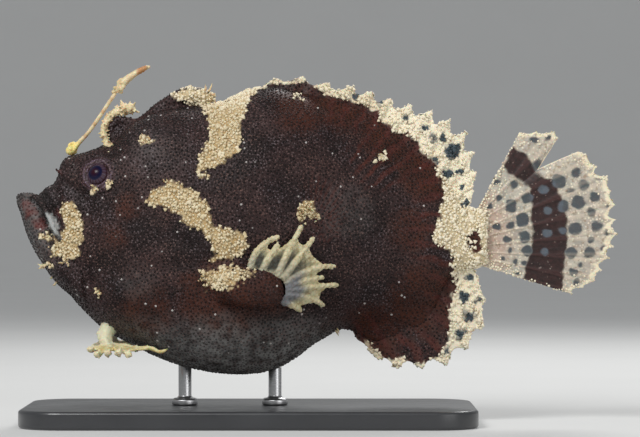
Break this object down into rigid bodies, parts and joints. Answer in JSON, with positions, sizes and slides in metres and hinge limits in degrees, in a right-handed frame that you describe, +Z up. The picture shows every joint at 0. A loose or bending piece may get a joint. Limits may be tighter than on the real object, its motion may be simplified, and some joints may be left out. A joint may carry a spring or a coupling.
{
  "type": "frogfish model",
  "caption": "Still, life-size frogfish with a hump, a stalked lure, fan fins and a spotted tail, held on two short rods over a flat display base.",
  "frame": {"origin": "middle of the stand's underside, which rests on the table", "axes": "+X from snout to tail, +Y towards the fish's right side, +Z up"},
  "size_m": [0.1205, 0.046, 0.0716],
  "materials": {
    "skin": "dark chocolate brown, finely granular, with cream patches",
    "fins": "cream membranes, brown bars and slate spots",
    "lure": "cream to yellow, knobbly",
    "eyes": "wet and glossy, deep blue",
    "stand": "satin charcoal",
    "stand_rods": "fine brushed"
  },
  "bodies": {
    "root": {"head": "skin", "upper_jaw": "skin", "lower_jaw": "skin", "trunk": "skin", "tail_stalk": "skin", "fin_dorsal": "fins", "fin_anal": "fins", "fin_tail": "fins", "illicium": "lure", "esca": "lure", "dorsal_spine_2": "lure", "dorsal_spine_3": "skin", "stand_base": "stand", "stand_rod_front": "stand_rods", "stand_rod_rear": "stand_rods", "eye_left": "eyes", "arm_left": "skin", "fin_pectoral_left": "fins", "fin_pelvic_left": "fins", "eye_right": "eyes", "arm_right": "skin", "fin_pectoral_right": "fins", "fin_pelvic_right": "fins"}
  },
  "joints": []
}
